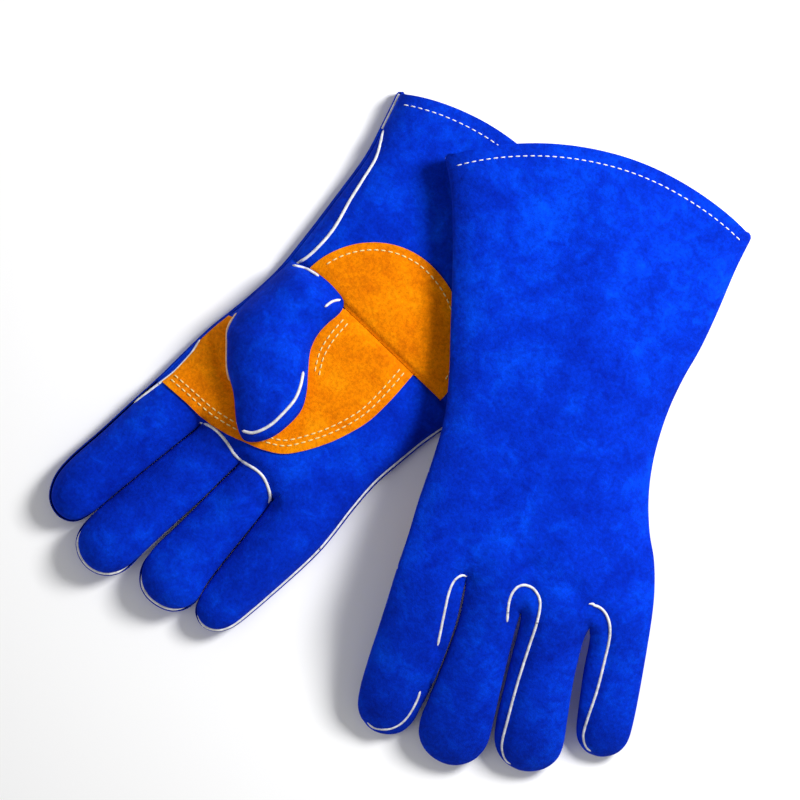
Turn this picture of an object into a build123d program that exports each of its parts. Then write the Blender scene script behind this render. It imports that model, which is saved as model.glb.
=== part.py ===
from build123d import *
from collections import namedtuple
from math import acos, atan2, cos, degrees, hypot, radians
import os

# A pair of lined leather gauntlets for welding, one lying partly on the other. All sizes in mm.
#
# Each glove is drawn flat in its own frame, palm up: +Y runs from the fingers to the cuff, +X
# towards the little finger, and z = 0 is the outside of the back of the hand. The right glove is
# placed as drawn. The left glove is turned over by mirroring it in z, and rests on the right cuff.

# Leather, lining and thread
leather = 2.6
lining = 1.0
lining_gap = 0.1
trim = 0.02  # cut off the lofted hand, so that its back and palm are true planes
welt = 2.4
patch = 1.4
thread_width = 0.9
thread_height = 0.8
thread_sink = 0.4

# Hand and cuff, flattened tubes
hand_height = 28.0
hand_edge = 11.0
knuckle_y = -104.0
wrist_y = 1.0
mouth_beyond = 60.0
hem_inset = 6.5

# Fingers and thumb
finger_height = 26.0
finger_edge = 9.0
finger_gap = 0.5
thumb_height = 21.0
thumb_edge = 8.0
thumb_rise = 2.4
thumb_gap = 0.5
run_back = 12.0

# Gold reinforcements on the palm side
heel_centre_x = -2.0
heel_radius = 51.0
heel_inset = 4.5
palm_patch_right = 34.0
palm_patch_inset = 5.0
palm_patch_pitch = 3.2
base_welt_width = 2.2
base_welt_height = 1.6

# How the pair lies
right_turn = -17.0
left_turn = 17.0
right_origin = (-40.4, 41.6)
left_origin = (76.6, 53.5)
left_raise = 32.5
left_droop = 16.5

# A width of the hand: its place along the glove and its two edges
Width = namedtuple("Width", "y low high")
# A finger: its two edges at the knuckle line, and the centre and radius of its round tip
Finger = namedtuple("Finger", "name low high tip_x reach tip_radius")
# A thumb: the two ends of its crease, how far its base is shifted, and its round tip from the crease
Thumb = namedtuple("Thumb", "crotch web shift_y tip_x reach tip_radius")
Glove = namedtuple("Glove", "side turn origin raised droop widths mouth fingers thumb")

right_glove = Glove(
    side="right",
    turn=right_turn,
    origin=right_origin,
    raised=0.0,
    droop=0.0,
    widths=[
        Width(150, -98, 103),
        Width(112, -85.5, 92),
        Width(55, -72, 79),
        Width(0, -64, 67),
        Width(-45, -67, 63),
        Width(knuckle_y, -70.5, 64),
    ],
    mouth=[(-85.5, 113), (0, 139.5), (92, 106)],
    fingers=[
        Finger("index", -70.0, -36.0, -60.0, 81.0, 16.0),
        Finger("middle", -34.5, -4.5, -25.0, 90.0, 17.5),
        Finger("ring", -3.0, 26.0, 15.0, 77.0, 18.5),
        Finger("little", 27.5, 63.5, 49.0, 70.0, 14.5),
    ],
    thumb=Thumb((-61, -55), (-23, -12), 0.0, -13.8, 45.5, 20.0),
)

left_glove = Glove(
    side="left",
    turn=left_turn,
    origin=left_origin,
    raised=left_raise,
    droop=left_droop,
    widths=[
        Width(150, -97, 101),
        Width(116, -85, 91),
        Width(55, -72.5, 76),
        Width(0, -65, 60),
        Width(-45, -67, 60),
        Width(knuckle_y, -75.5, 72),
    ],
    mouth=[(-90, 131), (-10, 149.5), (91.5, 116.5)],
    fingers=[
        Finger("index", -75.0, -39.0, -66.0, 75.0, 18.5),
        Finger("middle", -37.5, -3.5, -27.0, 85.0, 19.5),
        Finger("ring", -2.0, 36.5, 16.5, 81.5, 19.0),
        Finger("little", 38.5, 71.5, 58.5, 67.5, 15.5),
    ],
    thumb=Thumb((-61, -72), (-23, -29), -17.0, 1.7, 46.5, 20.0),
)

middle_z = hand_height / 2
thumb_low = hand_height + thumb_rise
thumb_high = thumb_low + thumb_height
thumb_middle_z = thumb_low + thumb_height / 2
big = 400.0


def layer(shape, low, high):
    """The part of a shape between two heights."""
    return shape & Pos(0, 0, low) * Box(big, big, high - low, align=(Align.CENTER, Align.CENTER, Align.MIN))


def ahead_of(shape, y):
    """The part of a shape on the cuff side of y."""
    return shape & Pos(0, y, 0) * Box(big, big, big, align=(Align.CENTER, Align.MIN, Align.CENTER))


def behind(shape, y):
    """The part of a shape on the finger side of y."""
    return shape & Pos(0, y, 0) * Box(big, big, big, align=(Align.CENTER, Align.MAX, Align.CENTER))


# ---------------------------------------------------------------- hand and cuff


def sleeve(glove, inset):
    """The flattened tube of hand and cuff, smaller by the inset on every side, cut to the curved mouth."""
    sections = []
    for width in glove.widths:
        centre = ((width.low + width.high) / 2, width.y, middle_z)
        plane = Plane(origin=centre, x_dir=(1, 0, 0), z_dir=(0, -1, 0))
        across = width.high - width.low - 2 * inset
        outline = RectangleRounded(across, hand_height - 2 * inset, hand_edge - inset)
        sections.append(plane * outline)
    start, _, end = glove.mouth
    beyond = Polyline(
        end,
        (end[0] + mouth_beyond, end[1]),
        (end[0] + mouth_beyond, end[1] + mouth_beyond),
        (start[0] - mouth_beyond, end[1] + mouth_beyond),
        (start[0] - mouth_beyond, start[1]),
        start,
    )
    cut = extrude(make_face([ThreePointArc(*glove.mouth), *beyond.edges()]), amount=hand_height)
    return loft(sections) - cut


def hem_row(glove, low, high):
    """A row of stitching beside the mouth, over the flat of one face."""
    arc = ThreePointArc(*glove.mouth)
    radius = arc.radius - hem_inset
    ring = Circle(radius + thread_width / 2) - Circle(radius - thread_width / 2)
    row = extrude(ring, amount=high - low)
    row = Pos(arc.arc_center.X, arc.arc_center.Y, low) * row
    row = ahead_of(row, 90)
    width = glove.widths[1]
    across = width.high - width.low - 2 * hand_edge
    centre_x = (width.low + width.high) / 2
    return row & Pos(centre_x, 0, 0) * Box(across, big, big)


def hand_parts(glove):
    """Leather, welts and linings of the hand and cuff, before the thumb hole and the patches."""
    shell = sleeve(glove, -trim) - sleeve(glove, leather)
    palm_side = layer(shell, middle_z + welt / 2, hand_height)
    inside = leather + lining_gap
    inner = sleeve(glove, inside) - sleeve(glove, inside + lining)
    return {
        "back_panel": layer(shell, 0, middle_z - welt / 2),
        "palm_panel": behind(palm_side, wrist_y),
        "cuff_palm_panel": ahead_of(palm_side, wrist_y),
        "hand_welts": layer(shell, middle_z - welt / 2, middle_z + welt / 2),
        "hand_lining": behind(inner, wrist_y),
        "cuff_lining": ahead_of(inner, wrist_y),
    }


# ---------------------------------------------------------------- patches


def heel_patch():
    """Half disc of leather on the cuff, against the wrist seam."""
    disc = extrude(Circle(heel_radius), amount=patch)
    disc = Pos(heel_centre_x, wrist_y, hand_height) * disc
    return ahead_of(disc, wrist_y + thread_width)


def palm_patch_edge(glove):
    """The round lower edge of the palm patch, from beside the index finger to the wrist side."""
    inner_x = glove.fingers[0].high + 6
    low_y = knuckle_y + 3
    return ThreePointArc((inner_x, low_y), (19, -77), (palm_patch_right, -41))


def palm_patch(glove):
    """Leather over the thumb side of the palm, notched round the base of the thumb."""
    edge = palm_patch_edge(glove)
    start = edge @ 0
    left = glove.fingers[0].low + hand_edge + 1
    rest = Polyline(
        (palm_patch_right, -41),
        (palm_patch_right, wrist_y - thread_width),
        (left, wrist_y - thread_width),
        (left, start.Y),
        (start.X, start.Y),
    )
    slab = extrude(make_face([edge, *rest.edges()]), amount=patch)
    notch = extrude(offset(thumb_base_plan(glove, 0), amount=thread_width), amount=big)
    kept = Pos(0, 0, hand_height) * slab - notch
    return kept.solids().sort_by(SortBy.VOLUME)[-1]


def patch_rows(glove):
    """The rows of stitching that hold the two patches."""
    low = hand_height + patch - thread_sink
    rows = []
    radius = heel_radius - heel_inset
    ring = Circle(radius + thread_width / 2) - Circle(radius - thread_width / 2)
    heel = Pos(heel_centre_x, wrist_y, low) * extrude(ring, amount=thread_height)
    rows.append(ahead_of(heel, wrist_y + 2))
    edge = palm_patch_edge(glove)
    for step in range(2):
        radius = edge.radius - palm_patch_inset - step * palm_patch_pitch
        ring = Circle(radius + thread_width / 2) - Circle(radius - thread_width / 2)
        row = Pos(edge.arc_center.X, edge.arc_center.Y, low) * extrude(ring, amount=thread_height)
        row = row & Pos(0, -48, 0) * Box(2 * (palm_patch_right - 4), 92, big)
        row = row - extrude(offset(thumb_base_plan(glove, 0), amount=4), amount=big)
        rows.append(row.solids().sort_by(Axis.Y)[0])
    return rows


def base_welt(glove):
    """Welt on the palm side of the knuckle line, under the middle and ring fingers."""
    low = glove.fingers[1].low
    high = glove.fingers[2].high
    bar = Box(high - low, base_welt_width, base_welt_height, align=(Align.MIN, Align.MIN, Align.MIN))
    return Pos(low, knuckle_y + 0.3, hand_height) * bar


# ---------------------------------------------------------------- fingers and thumb


def tangent_point(point, centre, radius, side):
    """Where a line from a point touches a circle, on the side given as 1 or -1."""
    away = Vector(*point) - Vector(*centre)
    turn = side * degrees(acos(radius / away.length))
    return Vector(*centre) + away.normalized().rotate(Axis.Z, turn) * radius


def blunt_form(low, high, tip, radius, height, edge, inset):
    """A blunt form with a round tip and soft edges, smaller by the inset, that runs on past its root at y = 0."""
    start = (low, run_back)
    end = (high, run_back)
    touch_start = tangent_point(start, tip, radius, 1)
    touch_end = tangent_point(end, tip, radius, -1)
    lines = Polyline(touch_end, end, start, touch_start)
    plan = make_face([*lines.edges(), ThreePointArc(touch_start, (tip[0], tip[1] - radius), touch_end)])
    if inset:
        plan = offset(plan, amount=-inset)
    form = Pos(0, 0, inset) * extrude(plan, amount=height - 2 * inset)
    levels = form.edges().group_by(Axis.Z)
    return fillet(levels[0] + levels[-1], edge - inset)


def blunt_layers(low, high, tip, radius, height, edge):
    """The lower and upper leather of a blunt form, the welt between them and the lining, open at the root."""
    def form(inset):
        return blunt_form(low, high, tip, radius, height, edge, inset)

    shell = behind(form(0) - form(leather), 0)
    inside = leather + lining_gap
    low_face = height / 2 - welt / 2
    high_face = height / 2 + welt / 2
    return {
        "lower": layer(shell, 0, low_face),
        "upper": layer(shell, high_face, height),
        "welt": layer(shell, low_face, high_face),
        "lining": behind(form(inside) - form(inside + lining), 0),
    }


def finger_parts(finger, glove):
    """One finger's leather back and palm side, its welt and its lining, bent towards the palm as it lies."""
    tip = (finger.tip_x, -finger.reach / cos(radians(glove.droop)))
    layers = blunt_layers(finger.low, finger.high, tip, finger.tip_radius, finger_height, finger_edge)
    bend = Pos(0, knuckle_y, hand_height) * Rot(X=-glove.droop) * Pos(0, -finger_gap, -finger_height)
    return {
        "back": bend * layers["lower"],
        "palm": bend * layers["upper"],
        "welt": bend * layers["welt"],
        "lining": bend * layers["lining"],
    }


def crease_length(glove):
    """The length of the crease between the thumb and its base."""
    crotch, web = glove.thumb.crotch, glove.thumb.web
    return hypot(web[0] - crotch[0], web[1] - crotch[1])


def crease(glove, height):
    """The frame of the crease at a height: x along the crease, -y towards the tip of the thumb."""
    crotch, web = glove.thumb.crotch, glove.thumb.web
    angle = degrees(atan2(web[1] - crotch[1], web[0] - crotch[0]))
    return Pos((crotch[0] + web[0]) / 2, (crotch[1] + web[1]) / 2, height) * Rot(Z=angle)


def thumb_base_plan(glove, inset):
    """Outline of the thumb's base, between its crease and the edge of the hand."""
    crotch, web, shift_y = glove.thumb.crotch, glove.thumb.web, glove.thumb.shift_y
    corners = [crotch, web, (web[0], shift_y), (web[0] - 15, shift_y), (crotch[0], shift_y - 20)]
    plan = make_face(Polyline(*corners, close=True))
    if inset:
        plan = offset(plan, amount=-inset, kind=Kind.INTERSECTION)
    return plan


def thumb_base(glove):
    """A hood of leather over the thumb hole, open to the hand below and to the thumb at the crease."""
    outside = thumb_high - hand_height
    outer = Pos(0, 0, hand_height) * extrude(thumb_base_plan(glove, 0), amount=outside)
    inner = Pos(0, 0, hand_height) * extrude(thumb_base_plan(glove, leather), amount=outside - leather)
    across = crease_length(glove) - 2 * thumb_edge
    opening = Box(across, 4 * leather, thumb_height - 2 * leather)
    return outer - inner - crease(glove, thumb_middle_z) * opening


def thumb_hole(glove):
    """The hole through the palm leather and lining under the thumb's base."""
    hole = extrude(thumb_base_plan(glove, leather + 1), amount=middle_z)
    return Pos(0, 0, middle_z + welt) * hole


def thumb_parts(glove):
    """The blue outer half of the thumb, the gold half against the palm, the welt and the lining."""
    thumb = glove.thumb
    half = crease_length(glove) / 2
    tip = (thumb.tip_x, -thumb.reach)
    layers = blunt_layers(-half, half, tip, thumb.tip_radius, thumb_height, thumb_edge)
    place = crease(glove, thumb_low) * Pos(0, -thumb_gap, 0)
    return {
        "thumb_outer": place * layers["upper"],
        "thumb_inner": place * layers["lower"],
        "thumb_welt": place * layers["welt"],
        "thumb_lining": place * layers["lining"],
    }


# ---------------------------------------------------------------- one glove


def glove_parts(glove):
    """Every piece of one glove, drawn flat and palm up, by name."""
    parts = hand_parts(glove)
    hole = thumb_hole(glove)
    parts["palm_panel"] -= hole
    parts["hand_lining"] -= hole
    parts["palm_patch"] = palm_patch(glove)
    parts["heel_patch"] = heel_patch()
    parts["thumb_base"] = thumb_base(glove)
    parts["hand_welts"] = [*parts["hand_welts"].solids(), base_welt(glove)]

    hem_top = hem_row(glove, hand_height - thread_height, hand_height)
    hem_back = hem_row(glove, 0, thread_height)
    rows = patch_rows(glove)
    parts["cuff_palm_panel"] -= hem_top
    parts["back_panel"] -= hem_back
    for row in rows:
        parts["heel_patch"] -= row
        parts["palm_patch"] -= row
    parts["stitching"] = [hem_top, hem_back, *rows]

    for finger in glove.fingers:
        for piece, shape in finger_parts(finger, glove).items():
            parts[f"{finger.name}_{piece}"] = shape
    parts.update(thumb_parts(glove))
    return parts


def placed(glove, shape):
    """A piece moved from the glove's own frame to where it lies, turned over for the left glove."""
    solids = []
    members = shape if isinstance(shape, list) else [shape]
    for member in members:
        if glove.side == "left":
            member = mirror(member, about=Plane.XY.offset(middle_z))
        solids += (Pos(*glove.origin, glove.raised) * Rot(Z=glove.turn) * member).solids()
    return solids


nodes = {}
for glove in (right_glove, left_glove):
    for name, shape in glove_parts(glove).items():
        nodes[f"{glove.side}_{name}"] = placed(glove, shape)

# The origin is on the surface under the pair, below the middle of its outline
everything = Compound([solid for solids in nodes.values() for solid in solids]).bounding_box()
to_origin = (-everything.center().X, -everything.center().Y, -everything.min.Z)
print("moved to the origin by", to_origin, "size", everything.size)

os.makedirs("parts", exist_ok=True)
for name, solids in nodes.items():
    moved = [Pos(*to_origin) * solid for solid in solids]
    shape = moved[0] if len(moved) == 1 else Compound(moved)
    export_step(shape, f"parts/{name}.step")
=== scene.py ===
import math
from collections import namedtuple

import bpy
import numpy as np
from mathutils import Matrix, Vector, noise
from mathutils.bvhtree import BVHTree
from mathutils.geometry import delaunay_2d_cdt


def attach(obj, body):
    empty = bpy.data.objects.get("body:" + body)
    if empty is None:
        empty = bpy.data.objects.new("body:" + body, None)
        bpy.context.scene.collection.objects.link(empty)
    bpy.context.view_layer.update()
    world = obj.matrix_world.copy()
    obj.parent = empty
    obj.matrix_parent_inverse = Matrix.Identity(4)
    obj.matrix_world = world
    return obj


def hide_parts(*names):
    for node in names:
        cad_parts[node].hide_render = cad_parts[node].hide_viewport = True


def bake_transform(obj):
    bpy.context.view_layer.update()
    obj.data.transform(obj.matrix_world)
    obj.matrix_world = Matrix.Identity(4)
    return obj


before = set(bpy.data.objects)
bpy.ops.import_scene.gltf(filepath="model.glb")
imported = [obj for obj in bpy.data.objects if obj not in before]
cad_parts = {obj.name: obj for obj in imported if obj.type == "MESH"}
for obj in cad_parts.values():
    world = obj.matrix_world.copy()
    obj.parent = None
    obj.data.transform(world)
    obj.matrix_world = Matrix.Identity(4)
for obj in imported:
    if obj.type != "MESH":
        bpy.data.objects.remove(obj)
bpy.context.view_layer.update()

# A pair of suede welding gauntlets. Each glove is cut from two flat outlines, as the real one is:
# the panels are inflated between their seams like a pillow, bent at the knuckles and laid in place.
#
# Lengths are in millimetres in a glove's own flat frame, palm up: +Y runs to the cuff, +X to the
# little finger, z = 0 is the outside of the back. laid() turns them into metres in the row frame.

# ---------------------------------------------------------------- sizes

HAND_HEIGHT = 28.0
KNUCKLE_Y = -104.0
WRIST_Y = 1.0
LEATHER = 1.8
LINING = 1.0
LINING_GAP = 0.15  # between the leather and the lining
LINED_ROOM = 0.3  # left inside the lining where it ends, near the seams
PATCH = 1.3
PATCH_MARGIN = {"right": 0.0, "left": 3.2}  # from the patch to the side seam
PATCH_TAPER = 6.0
WELT_RADIUS = 1.0
WELT_SINK = 0.25
RAW_EDGE_RADIUS = 0.8
WELT_END = 5.0  # length over which a welt's end sinks into the leather
WELT_STEP = 1.2
SEAM_STEP = 1.5
SEAM_PROUD = {"right": 0.1, "left": -0.4}
SLIT_DEPTH = 2.8  # how much deeper the welt lies between two fingers
HIDDEN_PROUD = -1.0  # round the right index finger, where no welt shows
SURFACE_WELT_RADIUS = {"right": 1.0, "left": 0.88}
HEM_INSET = 7.475
STITCH_LENGTH = 3.0
STITCH_PITCH = 4.2
STITCH_RADIUS = 0.42
HEM_STITCH_LENGTH = 2.9
HEM_STITCH_RADIUS = 0.36
PATCH_ROWS = (4.6, 7.8)  # from the patch's edge to its two rows of stitches
THUMB_ROW_SHIFTS = (0, 3.4)
HEEL_ROW_SHARE = 0.915
EDGE_STEP = 1.6
LINE_STEP = 0.7
LINE_CLEAR = 0.6
GRID_STEP = 2.6
RINGS = (0.45, 1.2, 2.4)  # depths of the rows of points inside the rim
PILLOW_REACH = 15.0
CUT_HALF = 24  # half of the line across a finger, before it is trimmed to the finger
BEND_START = KNUCKLE_Y + 8
KNUCKLE_RUN = 30.0
TIP_START = 35.0
TIP_RUN = 70.0
BEND_STEPS = 33
BEND_LENGTH = 26.0
SETTLE = 3.0

Finger = namedtuple("Finger", "name cut middle_x droop curve")
Glove = namedtuple(
    "Glove",
    "side origin turn raised seam_z back_drop palm_rise outline mouth fingers slits "
    "back_bulge palm_bulge slit_bulge sag",
)


def arc_points(start, middle, end, count):
    """Points on the arc through three points."""
    (ax, ay), (bx, by), (cx, cy) = start, middle, end
    d = 2 * (ax * (by - cy) + bx * (cy - ay) + cx * (ay - by))
    a2, b2, c2 = ax * ax + ay * ay, bx * bx + by * by, cx * cx + cy * cy
    ux = (a2 * (by - cy) + b2 * (cy - ay) + c2 * (ay - by)) / d
    uy = (a2 * (cx - bx) + b2 * (ax - cx) + c2 * (bx - ax)) / d
    radius = math.hypot(ax - ux, ay - uy)
    first = math.atan2(ay - uy, ax - ux)
    last = math.atan2(cy - uy, cx - ux)
    angles = np.linspace(first, last, count)
    return [(ux + radius * math.cos(t), uy + radius * math.sin(t)) for t in angles]


RIGHT = Glove(
    side="right",
    origin=(-56.25, 21.25),
    turn=-17.0,
    raised=0.0,
    seam_z=9.0,
    back_drop=9.0,
    palm_rise=19.5,
    outline=[
        (-85.5, 113), (-80, 96), (-73.5, 74), (-69.5, 45), (-66, 15), (-64, -10), (-65.5, -35),
        (-69, -62), (-70, -85), (-70.5, -104),
        (-72, -125), (-73.5, -150), (-75.5, -175), (-74, -189), (-68, -199), (-58.5, -202.5),
        (-49.5, -199), (-45.2, -188), (-43.3, -170), (-40.5, -145), (-38, -125), (-36, -110),
        (-35.2, -105.5),
        (-34.4, -110), (-36.5, -125), (-39, -145), (-41.8, -170), (-43.5, -190), (-41.5, -203),
        (-34, -210.5), (-24, -212.5), (-14.5, -208.5), (-8.9, -199.5), (-7.8, -187), (-6.7, -165),
        (-5, -140), (-4.5, -120), (-4, -110),
        (-3.2, -105.5),
        (-2.4, -110), (-2.8, -125), (-3.2, -145), (-3.6, -162), (-4.2, -176), (-2.5, -189),
        (3.5, -197.5), (13, -201), (24, -199), (31.5, -193), (34.2, -184), (31.5, -172),
        (29.5, -155), (27.8, -135), (26.2, -116),
        (26, -109),
        (27.5, -116), (29.5, -135), (31.2, -155), (33.2, -172), (36, -183), (40, -188.5),
        (47.5, -190.5), (55, -187), (59.5, -179), (61.5, -165), (63, -148), (64.5, -128),
        (65, -112), (64, -98),
        (62, -80), (61, -60), (62.8, -40), (65, -22), (68.4, -5), (74, 25), (80, 55), (86, 82),
        (92, 106),
    ],
    mouth=[(92, 106), (0, 139.5), (-85.5, 113)],
    fingers=[
        Finger("index", -106.5, -53, 0, 5),
        Finger("middle", -106.5, -20, 0, 7),
        Finger("ring", -110, 12, 0, 9),
        Finger("little", -110, 46, 0, 6),
    ],
    slits=[((-35.2, -105.5), (-44.3, -195)), ((-3.2, -105.5), (-5.8, -195)), ((26, -109), (35, -185))],
    back_bulge=2.9,
    palm_bulge=0.3,
    slit_bulge=1.25,
    sag=0.0,
)

LEFT = Glove(
    side="left",
    origin=(60.75, 33.15),
    turn=17.0,
    raised=32.5,
    seam_z=15.0,
    back_drop=15.0,
    palm_rise=12.0,
    outline=[
        (-90, 131), (-83, 112), (-77.5, 86), (-73, 58), (-69.5, 33), (-66, 9), (-64.2, -17),
        (-66.4, -40), (-70.5, -66), (-73.5, -91),
        (-77, -111), (-80.5, -137), (-83.3, -157), (-85.2, -177), (-83, -188), (-75.5, -196.5),
        (-66.5, -198), (-58, -195), (-52.5, -188), (-49.2, -178), (-46.3, -168), (-43, -155),
        (-40.4, -142), (-38, -126), (-37.3, -110),
        (-36.4, -105),
        (-35.5, -110), (-36, -126), (-38.8, -143), (-41.5, -157), (-44.8, -173), (-47.5, -188),
        (-46, -197), (-41, -204), (-33.5, -208.5), (-25, -210), (-16.5, -207), (-10.5, -201),
        (-7, -192), (-6.2, -178), (-5.6, -160), (-4.6, -140), (-3.4, -122),
        (-1.9, -114.5),
        (-0.7, -122), (-2, -140), (-3, -160), (-3.8, -178), (-2.8, -190), (1.8, -199), (9, -204.5),
        (19, -205.5), (28, -202.5), (34.3, -195.5), (36.3, -186), (36, -172), (35.2, -150),
        (35.6, -135), (36.6, -122),
        (39, -116),
        (41, -122), (41, -142), (42, -160), (43.2, -174), (46.5, -182), (53, -187.5), (61, -187.5),
        (68.5, -184), (73, -177), (74.2, -165), (74.2, -140), (73.5, -115),
        (72, -97), (68.5, -78), (63, -62), (59, -43), (57.8, -24), (59, -6), (62, 12), (67, 30),
        (73.5, 48), (79.5, 70), (85.5, 96), (91.5, 116.5),
    ],
    mouth=[(91.5, 116.5), (-10, 149.5), (-90, 131)],
    fingers=[
        Finger("index", -106, -57, 21.3, 8),
        Finger("middle", -116, -22, 17.7, 9),
        Finger("ring", -118, 18, 18.7, 9),
        Finger("little", -118, 57, 24.4, 8),
    ],
    slits=[((-36.4, -105), (-49, -190)), ((-1.9, -114.5), (-5, -190)), ((39, -116), (40, -185))],
    back_bulge=1.4,
    palm_bulge=1.4,
    slit_bulge=1.0,
    sag=10.0,
)

# Outlines of the gold patches: the palm patch by its points, the heel patch as half an oval
PALM_PATCH = [
    (-21, 0.6), (0, 0.4), (33.8, 0.6), (34.8, -18), (34.2, -36), (30, -52), (23.5, -67), (13.5, -83),
    (3, -90.5), (-8, -95), (-20, -99), (-35, -102.2), (-52, -103.2), (-68.2, -104.3),
    (-67.1, -98), (-66.9, -91.5), (-67.4, -80), (-68.9, -73), (-69.5, -64), (-69.5, -51), (-52, -42),
    (-36, -28), (-26, -12),
]
HEEL_CENTRE = (-2.0, 1.4)
HEEL_LEFT = 50.0
HEEL_RIGHT = 57.5
HEEL_RISE = 52.0


# ---------------------------------------------------------------- curves in the flat plane


def smooth_curve(points, closed=False, per_span=8):
    """A Catmull-Rom curve through the points."""
    p = np.array(points, float)
    n = len(p)
    out = []
    spans = n if closed else n - 1
    for i in range(spans):
        if closed:
            a, b, c, d = (p[(i + k) % n] for k in (-1, 0, 1, 2))
        else:
            b, c = p[i], p[i + 1]
            a = p[i - 1] if i else 2 * b - c
            d = p[i + 2] if i + 2 < n else 2 * c - b
        for t in np.arange(per_span) / per_span:
            bend, twist = 2 * a - 5 * b + 4 * c - d, 3 * b - a - 3 * c + d
            out.append(0.5 * (2 * b + (c - a) * t + bend * t**2 + twist * t**3))
    if not closed:
        out.append(p[-1])
    return np.array(out)


def even(points, step, closed=False):
    """The same line with points at an even step."""
    p = np.array(points, float)
    if closed:
        p = np.vstack([p, p[:1]])
    run = np.r_[0, np.cumsum(np.linalg.norm(np.diff(p, axis=0), axis=1))]
    count = max(2, int(round(run[-1] / step)))
    at = np.linspace(0, run[-1], count + 1)
    if closed:
        at = at[:-1]
    return np.stack([np.interp(at, run, p[:, k]) for k in range(p.shape[1])], axis=1)


def inside(polygon, points):
    """Which points lie inside a polygon."""
    x, y = points[:, 0], points[:, 1]
    result = np.zeros(len(points), bool)
    px, py = polygon[:, 0], polygon[:, 1]
    qx, qy = np.roll(px, -1), np.roll(py, -1)
    for ax, ay, bx, by in zip(px, py, qx, qy):
        if ay == by:
            continue
        crosses = ((ay > y) != (by > y)) & (x < (bx - ax) * (y - ay) / (by - ay) + ax)
        result ^= crosses
    return result


def nearest(points, targets):
    """For each point the distance to, and the index of, the nearest target."""
    best = np.full(len(points), 1e9)
    which = np.zeros(len(points), int)
    for start in range(0, len(points), 2000):
        block = points[start:start + 2000]
        d = np.linalg.norm(block[:, None, :2] - targets[None, :, :2], axis=2)
        which[start:start + 2000] = d.argmin(axis=1)
        best[start:start + 2000] = d.min(axis=1)
    return best, which


def outward_normals(loop):
    """Unit normals of a closed loop, pointing out of it."""
    along = np.roll(loop, -1, axis=0) - np.roll(loop, 1, axis=0)
    normal = np.stack([along[:, 1], -along[:, 0]], axis=1)
    normal /= np.linalg.norm(normal, axis=1)[:, None] + 1e-9
    area = 0.5 * np.sum(loop[:, 0] * np.roll(loop[:, 1], -1) - loop[:, 1] * np.roll(loop[:, 0], -1))
    return normal if area > 0 else -normal


# ---------------------------------------------------------------- flat panels and their pillow shape


Flat = namedtuple("Flat", "points triangles loop normals rim_index rim_distance pillow bulge")


def flat_mesh(loop, lines):
    """Triangles that fill a loop, with the lines as edges."""
    normals = outward_normals(loop)
    rings = []
    for depth in RINGS:
        ring = loop - normals * depth
        distance, _ = nearest(ring, loop)
        rings.append(ring[distance > depth * 0.9][::(1 if depth < 2 else 2)])
    low, high = loop.min(axis=0), loop.max(axis=0)
    rows = np.arange(low[1], high[1], GRID_STEP * 0.866)
    cells = []
    for k, y in enumerate(rows):
        xs = np.arange(low[0] + (k % 2) * GRID_STEP / 2, high[0], GRID_STEP)
        cells.append(np.stack([xs, np.full(len(xs), y)], axis=1))
    cells = np.vstack(cells)
    cells = cells[inside(loop, cells)]
    distance, _ = nearest(cells, loop)
    cells = cells[distance > RINGS[-1] + GRID_STEP * 0.45]
    inner = np.vstack([*rings, cells])
    lines = [even(line, LINE_STEP) for line in lines]
    if lines:
        distance, _ = nearest(inner, np.vstack(lines))
        inner = inner[distance > LINE_CLEAR]

    points = [Vector(p) for p in loop]
    edges = [(i, (i + 1) % len(loop)) for i in range(len(loop))]
    for line in lines:
        first = len(points)
        points += [Vector(p) for p in line]
        edges += [(first + i, first + i + 1) for i in range(len(line) - 1)]
    points += [Vector(p) for p in inner]
    out, _, faces, *_ = delaunay_2d_cdt(points, edges, [], 0, 1e-4)
    xy = np.array([(v[0], v[1]) for v in out])
    triangles = np.array([f for f in faces if len(f) == 3])
    centres = xy[triangles].mean(axis=1)
    triangles = triangles[inside(loop, centres)]
    a, b, c = (xy[triangles[:, k]] for k in range(3))
    area = (b[:, 0] - a[:, 0]) * (c[:, 1] - a[:, 1]) - (b[:, 1] - a[:, 1]) * (c[:, 0] - a[:, 0])
    triangles[area < 0] = triangles[area < 0][:, ::-1]
    triangles = triangles[np.abs(area) > 1e-6]
    used, packed = np.unique(triangles, return_inverse=True)
    return xy[used], packed.reshape(-1, 3)


def boundary_edges(triangles):
    """Edges that only one triangle has, in that triangle's direction."""
    e = np.vstack([triangles[:, [0, 1]], triangles[:, [1, 2]], triangles[:, [2, 0]]])
    key = np.sort(e, axis=1)
    _, index, count = np.unique(key, axis=0, return_index=True, return_counts=True)
    return e[index[count == 1]]


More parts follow.
